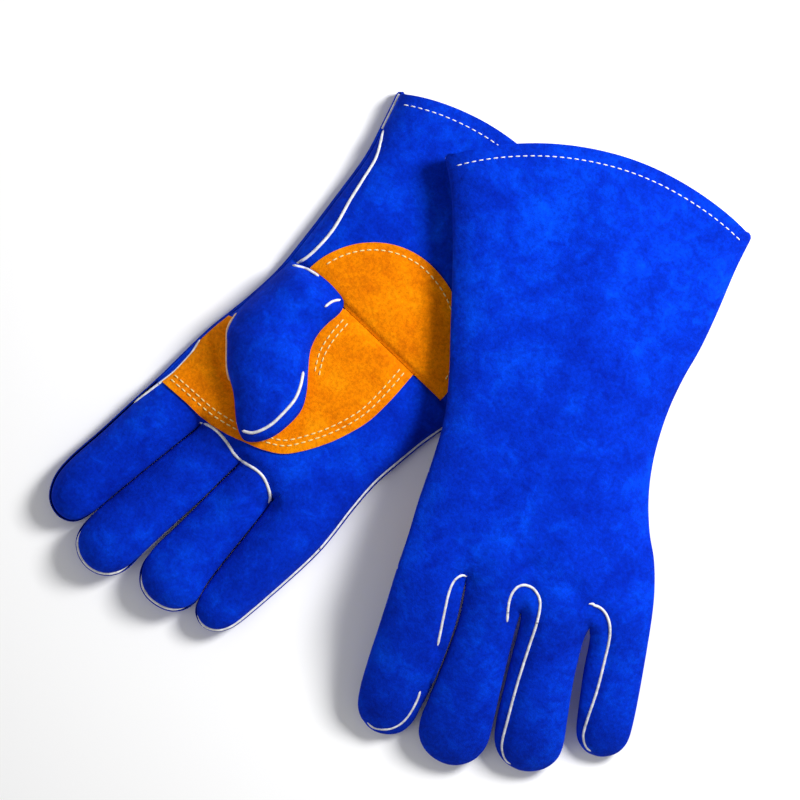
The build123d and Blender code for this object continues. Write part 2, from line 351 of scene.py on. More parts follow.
def inflate(points, triangles, fixed, reach):
    """How high a pressed pillow stands over a flat cut, from 0 at its seams to 1 in the middle."""
    n = len(points)
    i, j, weight = [], [], []
    mass = np.zeros(n)
    corner = points[triangles]
    for k in range(3):
        a, b, c = corner[:, k], corner[:, (k + 1) % 3], corner[:, (k + 2) % 3]
        u, v = b - a, c - a
        cross = np.abs(u[:, 0] * v[:, 1] - u[:, 1] * v[:, 0]) + 1e-9
        cot = np.clip((u * v).sum(axis=1) / cross, -3, 8)
        i.append(triangles[:, (k + 1) % 3])
        j.append(triangles[:, (k + 2) % 3])
        weight.append(0.5 * cot)
        mass += np.bincount(triangles[:, k], cross / 6, n)
    i, j, weight = np.concatenate(i), np.concatenate(j), np.concatenate(weight)
    diagonal = np.bincount(i, weight, n) + np.bincount(j, weight, n) + mass / reach**2
    free = ~fixed

    def apply(x):
        y = diagonal * x - np.bincount(i, weight * x[j], n) - np.bincount(j, weight * x[i], n)
        return y * free

    x = np.zeros(n)
    r = mass * free
    z = r / diagonal
    p = z.copy()
    rz = r @ z
    for _ in range(400):
        ap = apply(p)
        alpha = rz / (p @ ap)
        x += alpha * p
        r -= alpha * ap
        z = r / diagonal
        rz_next = r @ z
        if rz_next < 1e-10:
            break
        p = z + rz_next / rz * p
        rz = rz_next
    return np.sqrt(np.clip(x, 0, None)) / reach


def flat_panel(outline, mouth, lines):
    """The flat cut of one glove or thumb with its pillow height, open along its mouth."""
    side = smooth_curve(outline)
    mouth_line = np.array(arc_points(*mouth, 60)) if mouth else None
    ring = np.vstack([side, mouth_line[1:-1]]) if mouth else smooth_curve(outline, closed=True)
    loop = even(ring, EDGE_STEP, closed=True)
    points, triangles = flat_mesh(loop, lines)
    normals = outward_normals(loop)
    distance, index = nearest(points, loop)
    rim = np.zeros(len(points), bool)
    rim[boundary_edges(triangles).ravel()] = True
    if mouth:
        from_mouth, _ = nearest(points, even(mouth_line, 0.5))
        from_side, _ = nearest(points, even(side, 0.5))
        rim &= ~((from_mouth < 0.6) & (from_side > 1.0))
    pillow = inflate(points, triangles, rim, PILLOW_REACH)
    # the seams bulge less where another finger is near
    near = np.zeros(len(loop), bool)
    for reach in (2.0, 4.0, 6.0, 9.0):
        near |= inside(loop, loop + normals * reach)
    allowed = np.where(near, 0.0, 1.0)
    allowed = np.convolve(np.r_[allowed[-6:], allowed, allowed[:6]], np.ones(13) / 13, "valid")
    return Flat(points, triangles, loop, normals, index, distance, pillow, allowed)


# ---------------------------------------------------------------- from flat to laid


def finger_index(glove, x, y):
    """Which finger a point of the flat plane belongs to, by the slits between the fingers."""
    which = np.zeros(np.shape(x), int)
    for (cx, cy), (tx, ty) in glove.slits:
        line_x = cx + (tx - cx) * (np.asarray(y) - cy) / (ty - cy)
        which += np.asarray(x) > line_x
    return which


def beyond_cut(glove, x, y):
    """Which finger a point is on, or -1 on the hand."""
    which = finger_index(glove, x, y)
    cuts = np.array([finger.cut for finger in glove.fingers])
    return np.where(np.asarray(y) < cuts[which] + 1e-3, which, -1)


def smoothstep(t):
    """A soft step from 0 to 1."""
    t = np.clip(t, 0, 1)
    return t * t * (3 - 2 * t)


def bend_angle(droop, curve, run):
    """Slope in radians of a finger at a distance along it: over the knuckle, and again to the tip."""
    knuckle = np.radians(droop) * smoothstep(run / KNUCKLE_RUN)
    return knuckle + np.radians(curve) * smoothstep((run - TIP_START) / TIP_RUN)


def along_integral(values, run):
    """Integral down the columns by the trapezium rule."""
    return ((values[1:] + values[:-1]) / 2 * np.diff(run, axis=0)).sum(axis=0)


def bend_stretch(finger):
    """How much longer a bent finger is than it looks from above."""
    stretch = 1.0
    for _ in range(6):
        run = np.linspace(0, (TIP_START + TIP_RUN) * stretch, 64)
        stretch = 1 / np.cos(bend_angle(finger.droop, finger.curve, run)).mean()
    return stretch


def laid(glove, points):
    """Flat points in mm, bent at the knuckles and laid in place, in metres in the row frame."""
    p = np.array(points, float).reshape(-1, 3)
    x, y, z = p.T
    which = finger_index(glove, x, y)
    droop = np.array([finger.droop for finger in glove.fingers])[which]
    curve = np.array([finger.curve for finger in glove.fingers])[which]
    stretch = np.array([bend_stretch(finger) for finger in glove.fingers])[which]
    along = np.clip(BEND_START - y, 0, None)
    pivot_z = 0.0 if glove.side == "right" else HAND_HEIGHT
    run = np.linspace(0, 1, BEND_STEPS)[:, None] * along * stretch
    angle = bend_angle(droop, curve, run)
    dy = along_integral(np.cos(angle), run)
    dz = along_integral(np.sin(angle), run)
    end = angle[-1]
    height = z - pivot_z
    bent_y = np.where(along > 0, BEND_START - dy + height * np.sin(end), y)
    bent_z = np.where(along > 0, pivot_z + dz + height * np.cos(end), z)
    if glove.side == "left":
        bent_z = HAND_HEIGHT - bent_z
        settled = SETTLE + glove.sag * smoothstep((x - 5) / 65)
        bent_z = bent_z - settled * smoothstep((y + 190) / 80)
    t = math.radians(glove.turn)
    out_x = x * math.cos(t) - bent_y * math.sin(t) + glove.origin[0]
    out_y = x * math.sin(t) + bent_y * math.cos(t) + glove.origin[1]
    return np.stack([out_x, out_y, bent_z + glove.raised], axis=1) / 1000


def laid_point(glove, x, y, z):
    """One flat point, laid in place."""
    return Vector(laid(glove, [(x, y, z)])[0])


# ---------------------------------------------------------------- surfaces


def ripple(x, y, scale, seed):
    """Smooth noise from -1 to 1 at a scale in mm."""
    return np.array([noise.noise(Vector((a / scale, b / scale, seed))) for a, b in zip(x, y)])


def dent(x, y, centre, depth, radius, squeeze=1.0, turn=0.0):
    """A soft dent or bump round a point, longer along its own direction."""
    c, s = math.cos(math.radians(turn)), math.sin(math.radians(turn))
    u = (x - centre[0]) * c + (y - centre[1]) * s
    v = -(x - centre[0]) * s + (y - centre[1]) * c
    return depth * np.exp(-(u * u + (v * squeeze) ** 2) / radius**2)


def groove(x, y, line, depth, width):
    """A soft groove along a line."""
    distance, _ = nearest(np.stack([x, y], axis=1), even(line, 1.0))
    return depth * np.exp(-(distance / width) ** 2)


def panel_heights(glove, flat):
    """The outer z of the back panel and of the palm panel over the flat cut."""
    x, y = flat.points.T
    pillow = flat.pillow
    edge = np.clip(pillow / 0.35, 0, 1)
    broad = ripple(x, y * 0.6, 44, 3.1) * 1.3 + ripple(x, y * 0.8, 21, 7.7) * 0.65
    fine = ripple(x, y, 9, 1.3) * 0.22 + ripple(x, y, 4.2, 5.9) * 0.1
    relief = (broad + fine) * edge
    if glove.side == "right":
        back = glove.seam_z - glove.back_drop * np.minimum(1, pillow * 2.0)
        fuller = 1 + 0.28 * smoothstep((KNUCKLE_Y + 6 - y) / 30)
        palm = glove.seam_z + glove.palm_rise * fuller * pillow ** (1 + 0.7 * (fuller - 1)) + relief
        palm -= groove(x, y, [(-64, WRIST_Y), (68, WRIST_Y)], 3.6, 1.5) * edge
        palm -= groove(x, y, [(-64, WRIST_Y), (68, WRIST_Y)], 1.2, 7) * edge
        palm -= groove(x, y, BASE_WELT, 2.2, 3.5) * edge
        palm -= groove(x, y, PALM_CREASE, 2.6, 2.6) * edge
        palm += dent(x, y, (-22, -98), 1.6, 14) * edge
        palm += dent(x, y, (-62, -84), -5.0, 22) * edge
        palm += dent(x, y, (30, -70), -2.0, 16, 1.6, 60) * edge
        palm += dent(x, y, (20, -116), -1.8, 4.5) * edge
        palm += dent(x, y, (10, -124), 1.0, 9) * edge
    else:
        back = glove.seam_z - glove.back_drop * pillow - relief * 0.8
        for centre, depth, radius, squeeze, turn in LEFT_DENTS:
            back += dent(x, y, centre, depth, radius, squeeze, turn) * edge
        for line in LEFT_WELTS:
            back += groove(x, y, line, 1.5, 2.2) * edge
        palm = glove.seam_z + glove.palm_rise * np.minimum(1, pillow * 1.2) + relief * 0.4
    return back, palm


def with_bulge(glove, flat, z, share):
    """Flat points moved out beside the seams, where leather rolls over the welt, with their heights."""
    lean = np.clip(flat.pillow / 0.55, 0, 1)
    free = flat.bulge[flat.rim_index]
    push = (share * free + glove.slit_bulge * (1 - free)) * np.sin(np.pi * lean)
    moved = flat.points + flat.normals[flat.rim_index] * (push * (flat.rim_distance < 14))[:, None]
    return np.column_stack([moved, z])


def vertex_normals(points, triangles):
    """Normals at the points, by the areas of the triangles round them."""
    a, b, c = (points[triangles[:, k]] for k in range(3))
    face = np.cross(b - a, c - a)
    out = np.zeros_like(points)
    for k in range(3):
        for axis in range(3):
            out[:, axis] += np.bincount(triangles[:, k], face[:, axis], len(points))
    return out / (np.linalg.norm(out, axis=1)[:, None] + 1e-12)


def new_object(name, points, faces, normals=None):
    """A smooth object in the scene, with normals of its own where they are given."""
    mesh = bpy.data.meshes.new(name)
    mesh.from_pydata([tuple(p) for p in points], [], [tuple(int(i) for i in f) for f in faces])
    mesh.update()
    mesh.shade_smooth()
    if normals is not None:
        mesh.normals_split_custom_set_from_vertices([tuple(n) for n in normals])
    made = bpy.data.objects.new(name, mesh)
    bpy.context.scene.collection.objects.link(made)
    return made


def thick_sheet(name, outer, inner, triangles, normals):
    """A closed thin solid between an outer and an inner surface over the same triangles."""
    used, packed = np.unique(triangles, return_inverse=True)
    packed = packed.reshape(-1, 3)
    a, b = outer[used], inner[used]
    n = len(used)
    same = np.linalg.norm(a - b, axis=1) < 2e-5
    inner_index = np.where(same, np.arange(n), np.arange(n) + n)
    faces = [tuple(t) for t in packed]
    for t in inner_index[packed][:, ::-1]:
        if max(t) >= n:
            faces.append(tuple(t))
    for p, q in boundary_edges(packed):
        ring = [q, p, inner_index[p], inner_index[q]]
        face = [v for k, v in enumerate(ring) if v not in ring[:k]]
        if len(face) > 2:
            faces.append(tuple(face))
    keep = np.r_[np.arange(n), np.arange(n)[~same] + n]
    place = np.zeros(2 * n, int)
    place[keep] = np.arange(len(keep))
    points = np.vstack([a, b])[keep]
    faces = [tuple(place[list(f)]) for f in faces]
    return new_object(name, points, faces, np.vstack([normals[used], -normals[used]])[keep])


# ---------------------------------------------------------------- tubes and stitches


def tube(points, radius, sides=8, taper=True):
    """Vertices and faces of a tube along points in metres, with rounded ends."""
    p = np.array(points)
    along = np.gradient(p, axis=0)
    along /= np.linalg.norm(along, axis=1)[:, None] + 1e-12
    up = np.array([0, 0, 1.0])
    vertices, faces = [], []
    count = len(p)
    for k in range(count):
        side = np.cross(along[k], up)
        side /= np.linalg.norm(side) + 1e-12
        top = np.cross(side, along[k])
        size = radius
        if taper and k in (0, count - 1):
            size = radius * 0.35
        for m in range(sides):
            a = 2 * math.pi * m / sides
            vertices.append(p[k] + (side * math.cos(a) + top * math.sin(a)) * size)
    for k in range(count - 1):
        for m in range(sides):
            n = (m + 1) % sides
            faces.append((k * sides + m, k * sides + n, (k + 1) * sides + n, (k + 1) * sides + m))
    faces.append(tuple(range(sides))[::-1])
    faces.append(tuple(range((count - 1) * sides, count * sides)))
    return np.array(vertices), faces


def joined(name, parts):
    """One object from several sets of vertices and faces."""
    vertices, faces, first = [], [], 0
    for v, f in parts:
        vertices.append(v)
        faces += [tuple(i + first for i in face) for face in f]
        first += len(v)
    return new_object(name, np.vstack(vertices), faces)


def stitches(line, surface, radius, length):
    """Separate stitches along a line of flat points, each dipping into the leather at both ends."""
    parts = []
    line = even(line, STITCH_PITCH)
    heading = np.gradient(line, axis=0)
    heading /= np.linalg.norm(heading, axis=1)[:, None]
    for (x, y), (dx, dy) in zip(line[1:-1], heading[1:-1]):
        route = []
        for t, lift in ((-0.5, -0.5), (-0.3, 0.35), (0, 0.6), (0.3, 0.35), (0.5, -0.5)):
            at = surface(x + dx * t * length, y + dy * t * length)
            if at is None:
                break
            point, normal = at
            route.append(np.array(point) + np.array(normal) * lift * radius / 1000)
        if len(route) == 5:
            parts.append(tube(route, radius / 1000, 6))
    return parts


# ---------------------------------------------------------------- materials


class Nodes:
    """Short hand for building a node material."""

    def __init__(self, name):
        self.material = bpy.data.materials.new(name)
        self.material.use_nodes = True
        self.tree = self.material.node_tree
        self.shader = self.tree.nodes["Principled BSDF"]
        self.place = self.add("ShaderNodeTexCoord").outputs["Object"]

    def add(self, kind, **settings):
        node = self.tree.nodes.new(kind)
        for key, value in settings.items():
            setattr(node, key, value)
        return node

    def link(self, a, b):
        self.tree.links.new(a, b)

    def noise(self, scale, detail=3.0, roughness=0.55, distortion=0.0):
        node = self.add("ShaderNodeTexNoise")
        node.inputs["Scale"].default_value = scale
        node.inputs["Detail"].default_value = detail
        node.inputs["Roughness"].default_value = roughness
        node.inputs["Distortion"].default_value = distortion
        self.link(self.place, node.inputs["Vector"])
        return node.outputs["Fac"]

    def ramp(self, value, stops):
        node = self.add("ShaderNodeValToRGB")
        ramp = node.color_ramp
        while len(ramp.elements) < len(stops):
            ramp.elements.new(0.5)
        for element, (position, colour) in zip(ramp.elements, stops):
            element.position = position
            element.color = (*colour, 1)
        self.link(value, node.inputs["Fac"])
        return node.outputs["Color"]

    def mix(self, factor, a, b, blend_type="MIX"):
        node = self.add("ShaderNodeMix", data_type="RGBA", blend_type=blend_type)
        for socket, value in ((node.inputs[0], factor), (node.inputs[6], a), (node.inputs[7], b)):
            if hasattr(value, "is_output"):
                self.link(value, socket)
            elif isinstance(value, tuple):
                socket.default_value = (*value, 1)
            else:
                socket.default_value = value
        return node.outputs[2]

    def maths(self, operation, a, b=0.0):
        node = self.add("ShaderNodeMath", operation=operation)
        for socket, value in ((node.inputs[0], a), (node.inputs[1], b)):
            if hasattr(value, "is_output"):
                self.link(value, socket)
            else:
                socket.default_value = value
        return node.outputs[0]

    def bump(self, heights, distance):
        """Bumps from (height, strength) pairs, one on another."""
        last = None
        for height, strength in heights:
            node = self.add("ShaderNodeBump")
            node.inputs["Strength"].default_value = strength
            node.inputs["Distance"].default_value = distance
            self.link(height, node.inputs["Height"])
            if last is not None:
                self.link(last, node.inputs["Normal"])
            last = node.outputs["Normal"]
        self.link(last, self.shader.inputs["Normal"])


def suede(name, dark, middle, light, sheen):
    """Brushed split leather: clouds where the nap lies each way, and short fibres."""
    m = Nodes(name)
    clouds = m.noise(26, 4, 0.6, 0.4)
    blotches = m.noise(110, 3, 0.6, 0.8)
    fibres = m.noise(1500, 4, 0.7, 0.6)
    grain = m.noise(520, 3, 0.6)
    lay = m.maths("ADD", m.maths("MULTIPLY", clouds, 0.6), m.maths("MULTIPLY", blotches, 0.4))
    colour = m.ramp(lay, [(0.28, dark), (0.5, middle), (0.74, light)])
    speck = m.ramp(grain, [(0.3, (0.78, 0.78, 0.78)), (0.7, (1.16, 1.16, 1.16))])
    colour = m.mix(1.0, colour, speck, "MULTIPLY")
    fibre = m.ramp(fibres, [(0.3, (0.82, 0.82, 0.82)), (0.7, (1.15, 1.15, 1.15))])
    colour = m.mix(1.0, colour, fibre, "MULTIPLY")
    m.link(colour, m.shader.inputs["Base Color"])
    m.shader.inputs["Roughness"].default_value = 0.93
    m.shader.inputs["Specular IOR Level"].default_value = 0.05
    m.shader.inputs["Sheen Weight"].default_value = sheen
    m.shader.inputs["Sheen Roughness"].default_value = 0.45
    m.shader.inputs["Sheen Tint"].default_value = (*[min(1, c * 1.3 + 0.05) for c in light], 1)
    m.bump([(fibres, 0.35), (grain, 0.4), (m.noise(210, 3), 0.25)], 0.0006)
    return m.material


def smooth_leather(name, dark, light):
    """Grain leather of the welts, creased across."""
    m = Nodes(name)
    colour = m.ramp(m.noise(300, 4, 0.6), [(0.35, dark), (0.65, light)])
    m.link(colour, m.shader.inputs["Base Color"])
    m.shader.inputs["Roughness"].default_value = 0.7
    m.bump([(m.noise(900, 3), 0.4), (m.noise(240, 2), 0.4)], 0.0004)
    return m.material


def thread(name, dark, light):
    """Twisted polyester thread."""
    m = Nodes(name)
    wave = m.add("ShaderNodeTexWave", wave_type="BANDS", bands_direction="DIAGONAL")
    wave.inputs["Scale"].default_value = 900
    wave.inputs["Distortion"].default_value = 1.5
    m.link(m.place, wave.inputs["Vector"])
    m.link(m.ramp(wave.outputs["Fac"], [(0.2, dark), (0.8, light)]), m.shader.inputs["Base Color"])
    m.shader.inputs["Roughness"].default_value = 0.6
    m.bump([(wave.outputs["Fac"], 0.5)], 0.0003)
    return m.material


def woven(name, dark, light, threads):
    """Cotton cloth: two sets of threads, with fluff."""
    m = Nodes(name)
    sets = []
    for direction in ("X", "Y"):
        wave = m.add("ShaderNodeTexWave", wave_type="BANDS", bands_direction=direction)
        wave.inputs["Scale"].default_value = threads
        wave.inputs["Distortion"].default_value = 0.6
        m.link(m.place, wave.inputs["Vector"])
        sets.append(wave.outputs["Fac"])
    weave = m.maths("MULTIPLY", sets[0], sets[1])
    colour = m.ramp(weave, [(0.1, dark), (0.7, light)])
    stain = m.ramp(m.noise(60, 3), [(0.3, (0.86, 0.86, 0.86)), (0.7, (1.05, 1.05, 1.05))])
    m.link(m.mix(1.0, colour, stain, "MULTIPLY"), m.shader.inputs["Base Color"])
    m.shader.inputs["Roughness"].default_value = 0.95
    m.shader.inputs["Sheen Weight"].default_value = 0.2
    m.bump([(weave, 0.6), (m.noise(1200, 2), 0.3)], 0.0004)
    return m.material


BLUE = suede("blue_suede", (0.0, 0.010, 0.30), (0.0, 0.026, 0.50), (0.0, 0.066, 0.80), 0.06)
GOLD = suede("gold_suede", (0.56, 0.12, 0.0), (0.78, 0.205, 0.0), (0.93, 0.32, 0.002), 0.1)
WELT = smooth_leather("welt_leather", (0.55, 0.55, 0.56), (0.86, 0.86, 0.86))
WHITE_THREAD = thread("white_thread", (0.6, 0.62, 0.66), (0.92, 0.93, 0.95))
GOLD_THREAD = thread("gold_thread", (0.75, 0.5, 0.12), (0.98, 0.82, 0.38))
COTTON = woven("cotton_lining", (0.5, 0.48, 0.43), (0.86, 0.84, 0.78), 700)
CANVAS = woven("cuff_lining", (0.42, 0.42, 0.4), (0.8, 0.79, 0.75), 520)

RAW = smooth_leather("raw_edge", (0.75, 0.42, 0.22), (0.92, 0.66, 0.42))


def finished(glove, made, material, body, *nodes):
    """Gives a piece its material and hides the CAD nodes that it stands for. A hand piece is attached to
    the hand's body; a thumb or finger piece only has its placement baked into its mesh.
    """
    made.data.materials.append(material)
    if body == "hand":
        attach(made, f"{glove.side}_hand")
    elif body == "thumb":
        corner = THUMB[glove.side]
        start = laid_point(glove, *corner["blend"][0], HAND_HEIGHT)
        end = laid_point(glove, *corner["blend"][1], HAND_HEIGHT)
        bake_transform(made)
    else:
        finger = next(f for f in glove.fingers if f.name == body)
        start = laid_point(glove, finger.middle_x, finger.cut, HAND_HEIGHT / 2)
        end = laid_point(glove, finger.middle_x, finger.cut - BEND_LENGTH, HAND_HEIGHT / 2)
        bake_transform(made)
    if nodes:
        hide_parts(*[f"{glove.side}_{node}" for node in nodes])
    return made


# ---------------------------------------------------------------- lines of the seams

BASE_WELT = [
    (-36, -106), (-31, -103.4), (-25, -102.4), (-17, -103), (-8, -105.2), (-1, -104.6), (7, -102.8),
    (13, -103), (19, -105.4), (24, -109), (26, -114),
]
CUFF_WELT = [
    (-79, 93), (-74.5, 86), (-69.2, 76), (-66, 62), (-63, 48), (-59, 33), (-57.5, 22), (-57.8, 8),
    (-60.5, -2),
]
SIDE_WELT = [
    (-70.2, -62), (-69.3, -73), (-67.9, -80), (-67.4, -91.5), (-67.8, -98), (-68.8, -104.5), (-70.3, -114),
    (-72.2, -127),
]
THUMB_ROW = [(-17.5, -2), (-16.8, -16), (-14, -28), (-7, -40)]
PALM_CREASE = [(-67, -65.5), (-58, -69), (-50, -74), (-38, -79)]
LEFT_WELTS = [
    [(-34.5, -104), (-39, -103.2), (-43, -106), (-45, -112), (-45.5, -124), (-45.8, -143)],
    [(-50.5, -166), (-52.5, -177), (-57, -188), (-64, -194.5), (-73, -196), (-80, -192)],
    [(-8.5, -124), (-10, -112), (-8, -105.5), (-3, -102.8), (3, -104), (7.5, -109), (8, -118), (6, -134),
     (3.5, -155), (2, -176), (1.5, -192), (5, -201), (11, -205)],
    [(33, -106.5), (41, -106), (47.5, -109.5), (51, -117), (51, -132), (50, -150), (48, -166), (47.5, -177),
     (50.5, -184), (56, -187.5)],
]
LEFT_DENTS = [
    ((0, -93), 2.2, 8, 1.4, 20),
    ((-22, -92), -1.6, 11, 1.0, 0),
    ((26, -101), 2.0, 8, 1.5, -30),
    ((20, -90), -1.2, 10, 1.0, 0),
    ((-44, -86), 1.3, 10, 1.3, 60),
    ((-55, -60), -1.0, 14, 1.0, 0),
    ((42, -40), 1.0, 18, 1.6, 70),
    ((-40, -10), 1.2, 20, 1.6, 95),
]
THUMB_RISE = 18.5
THUMB_SEAM = 4.5
THUMB = {
    "right": {
        "outline": [
            (-63.5, -4), (-60, 0), (-52, 3.2), (-42, 4.8), (-33, 4.8), (-24.5, 3), (-21.5, -3),
            (-22.3, -13), (-21.8, -22), (-18.5, -31), (-11.5, -40), (-3.5, -49.5), (1.6, -59),
            (2.4, -70), (0.6, -82),
            (-4.5, -91), (-11, -95), (-20.5, -90.5), (-33, -80), (-46, -72), (-56, -62), (-62, -55),
            (-65.5, -40), (-65, -20),
        ],
        "blend": ((-52, -22), (-32, -42)),
        "welt": [
            (-13, -42.5), (-8.5, -49.5), (-5.4, -57), (-4.6, -66), (-5.2, -78), (-9, -87.5), (-14.5, -91.5),
        ],
        "top_welt": [(-30, -7), (-29.2, -2), (-26.6, 2.6)],
        "end_welt": [(-60.5, -2.5), (-53, 1.6), (-45, 3.4)],
        "edge": [(-64.8, -45), (-62.4, -54.5), (-56, -62), (-46, -72), (-40, -76)],
        "crease": [(-62, -50), (-46, -38), (-30, -20), (-24, -12)],
    },
}


def moved_thumb(spec, down, lean):
    """The same thumb lower on the hand, with its tip leaning towards the little finger."""
    moved = {}
    for name, line in spec.items():
        moved[name] = [(x + lean * min(1, max(0, (-40 - y) / 50)), y - down) for x, y in line]
    return moved


THUMB["left"] = moved_thumb(THUMB["right"], 17.0, 14.0)


# ---------------------------------------------------------------- one glove


def cut_lines(glove):
    """The lines across the fingers where they are cut from the hand, from seam to seam."""
    outline = smooth_curve(glove.outline)
    trimmed = []
    for k, finger in enumerate(glove.fingers):
        ends = [(finger.middle_x + side * CUT_HALF, finger.cut) for side in (-1, 1)]
        dense = even(ends, 0.4)
        which = finger_index(glove, dense[:, 0], dense[:, 1])
        dense = dense[(which == k) & inside(outline, dense)]
        trimmed.append([tuple(dense[0]), tuple(dense[-1])])
    return trimmed


def inset(glove, shape, seam, toward, depth):
    """The laid surface at a depth inside a shape. It stops at the seam's height."""
    body = shape.copy()
    rise = np.clip((shape[:, 2] - seam) * toward - depth, 0, None)
    body[:, 2] = seam + rise * toward
    return laid(glove, body)


def is_lined(triangles, shape, seam, toward):
    """Which triangles have room for the lining inside the leather."""
    room = (shape[:, 2] - seam) * toward > LEATHER + LINING + LINED_ROOM
    return room[triangles].all(axis=1)


def sheet(glove, name, layer, triangles, cut_points, material, body, *nodes):
    """One piece of leather or cloth between two surfaces, finished, with the size of its cut worked out."""
    outer, inner, normals = layer
    made = thick_sheet(f"{glove.side}_{name}", outer, inner, triangles, normals)
    finished(glove, made, material, body, *nodes)
    declare_sheet(made, cut_points)


def build_glove(glove, lines):
    """Every visible piece of a glove except its thumb. Returns its flat cut, its two laid surfaces for
    what lies on them, and the palm's shape before it is laid."""
    flat = flat_panel(glove.outline, glove.mouth, [*cut_lines(glove), *lines])
    back_z, palm_z = panel_heights(glove, flat)
    back = with_bulge(glove, flat, back_z, glove.back_bulge)
    palm = with_bulge(glove, flat, palm_z, glove.palm_bulge)
    centre = flat.points[flat.triangles].mean(axis=1)
    region = beyond_cut(glove, centre[:, 0], centre[:, 1])

    surfaces = {}
    flip = glove.side == "left"
    for side, shape in (("back", back), ("palm", palm)):
        up = side == "palm"
        triangles = flat.triangles if up != flip else flat.triangles[:, ::-1]
        toward = 1 if up else -1
        plain = np.column_stack([flat.points, shape[:, 2]])
        outer = laid(glove, shape)
        normals = vertex_normals(outer, triangles)
        leather = (outer, inset(glove, shape, glove.seam_z, toward, LEATHER), normals)
        cloth_out = inset(glove, plain, glove.seam_z, toward, LEATHER + LINING_GAP)
        cloth_in = inset(glove, plain, glove.seam_z, toward, LEATHER + LINING_GAP + LINING)
        cloth = (cloth_out, cloth_in, normals)
        surfaces[side] = (outer, triangles, normals, centre, region)

        lined = is_lined(flat.triangles, shape, glove.seam_z, toward)
        hand = region == -1
        pieces = []
        if up:
            pieces.append(("palm_panel", hand & (centre[:, 1] < WRIST_Y)))
            pieces.append(("cuff_palm_panel", hand & (centre[:, 1] >= WRIST_Y)))
        else:
            pieces.append(("back_panel", hand))
        for node, chosen in pieces:
            cut_points = shape[flat.triangles[chosen].ravel()]
            sheet(glove, f"{node}_suede", leather, triangles[chosen], cut_points, BLUE, "hand", node)
        for k, finger in enumerate(glove.fingers):
            chosen = region == k
            node = f"{finger.name}_{side}"
            cut_points = shape[flat.triangles[chosen].ravel()]
            sheet(glove, f"{node}_suede", leather, triangles[chosen], cut_points, BLUE, finger.name, node)
            sheet(
                glove, f"{node}_cotton", cloth, triangles[chosen & lined], cut_points, COTTON, finger.name,
                f"{finger.name}_lining",
            )
        for node, material, chosen in (
            ("hand_lining", COTTON, hand & (centre[:, 1] < WRIST_Y)),
            ("cuff_lining", CANVAS, hand & (centre[:, 1] >= WRIST_Y)),
        ):
            chosen = chosen & lined
            cut_points = shape[flat.triangles[chosen].ravel()]
            sheet(glove, f"{node}_{side}", cloth, triangles[chosen], cut_points, material, "hand", node)
    return flat, surfaces, palm


def cut_size(points, rise):
    """Width and length in metres of the smallest rectangle of leather that a piece is cut from."""
    best = None
    for degrees in range(0, 90, 5):
        c, s = math.cos(math.radians(degrees)), math.sin(math.radians(degrees))
        spun = points[:, :2] @ np.array([[c, -s], [s, c]])
        size = np.ptp(spun, axis=0) + 2 * rise
        if best is None or size.prod() < best.prod():
            best = size
    return sorted(float(side) / 1000 for side in best)


def declare_sheet(made, points):
    """Works out the area of a panel sewn in all round and the size of its cut; the results are not kept.
    Its cut is its outline with the rise of its pillow added on every side."""
    area = sum(p.area for p in made.data.polygons) / 2
    rise = float(np.ptp(points[:, 2])) if points.shape[1] > 2 else 1.0
    width, length = cut_size(points, rise * 0.7)
    grow = math.sqrt(min(1.0, area / (0.32 * width * length)))
    width, length = width * grow, length * grow
    area = round(min(area, width * length), 6)


def surface_reader(glove, surface, down):
    """A function from a flat place to the world point and normal on a surface."""
    outer, triangles = surface[0], surface[1]
    tree = BVHTree.FromPolygons([tuple(p) for p in outer], [tuple(t) for t in triangles])

    def read(x, y):
        at = laid(glove, [(x, y, HAND_HEIGHT / 2)])[0]
        start = Vector((at[0], at[1], 0.3 if down else -0.3))
        hit, normal, _, _ = tree.ray_cast(start, Vector((0, 0, -1 if down else 1)))
        return None if hit is None else (hit, normal)

    return read


def split_runs(points, kinds):
    """Stretches of a line whose points are of one kind, each joined to the stretch before it."""
    start = 0
    for k in range(1, len(points) + 1):
        if k == len(points) or kinds[k] != kinds[start]:
            run = points[max(0, start - 1):k + 1]
            if len(run) > 3:
                yield run, kinds[start]
            start = k


